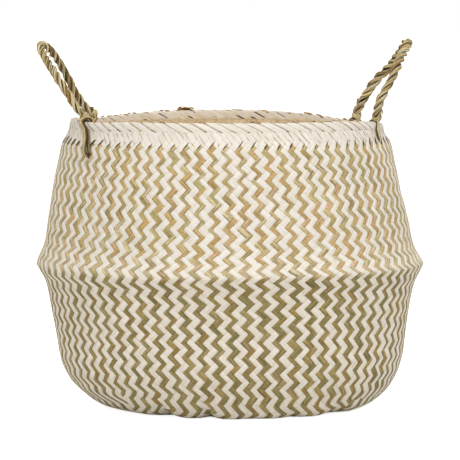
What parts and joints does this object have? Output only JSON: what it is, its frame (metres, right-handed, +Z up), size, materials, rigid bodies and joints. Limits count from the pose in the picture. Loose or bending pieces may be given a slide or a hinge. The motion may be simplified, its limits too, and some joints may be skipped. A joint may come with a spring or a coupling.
{
  "type": "belly basket",
  "caption": "Round double-walled plaited basket with a folding belly, a plain band and rolled edging round the mouth, and rope loop handles that swing on their feet.",
  "frame": {"origin": "middle of the underside, on the surface that the basket stands on", "axes": "+Z up through the mouth, +X towards the right-hand handle, -Y towards the front of the picture"},
  "size_m": [0.4198, 0.4198, 0.4007],
  "materials": {
    "patterned_plait": "matte",
    "white_plait": "matte",
    "natural_lining": "matte",
    "twisted_rope": "matte"
  },
  "bodies": {
    "bowl": {"base_plait": "patterned_plait", "lower_wall_plait": "patterned_plait", "lining_base": "natural_lining", "lining_lower_wall": "natural_lining"},
    "rim": {"upper_wall_plait": "patterned_plait", "lining_upper_wall": "natural_lining", "rim_band_plait": "white_plait", "rim_band_lining": "natural_lining", "rim_edging": "white_plait", "lashing_left_front": "twisted_rope", "lashing_left_back": "twisted_rope", "lashing_right_front": "twisted_rope", "lashing_right_back": "twisted_rope", "knot_left_front": "twisted_rope", "knot_left_back": "twisted_rope", "knot_right_front": "twisted_rope", "knot_right_back": "twisted_rope"},
    "handle_left": {"handle_rope_left": "twisted_rope", "binding_left_front": "natural_lining", "binding_left_back": "natural_lining"},
    "handle_right": {"handle_rope_right": "twisted_rope", "binding_right_front": "natural_lining", "binding_right_back": "natural_lining"}
  },
  "joints": [
    {"name": "belly_fold", "type": "slide", "parent": "bowl", "child": "rim", "axis": [0, 0, 1], "range_m": [-0.14, 0], "deforming": ["upper_wall_plait", "lining_upper_wall"]},
    {"name": "handle_left_swing", "type": "hinge", "parent": "rim", "child": "handle_left", "pos_m": [-0.15348, 0.00536, 0.3187], "axis": [-0.0349, -0.9994, 0], "range_deg": [-119, 57]},
    {"name": "handle_right_swing", "type": "hinge", "parent": "rim", "child": "handle_right", "pos_m": [0.15226, 0.02005, 0.3187], "axis": [-0.1305, 0.9914, 0], "range_deg": [-115, 61]}
  ]
}
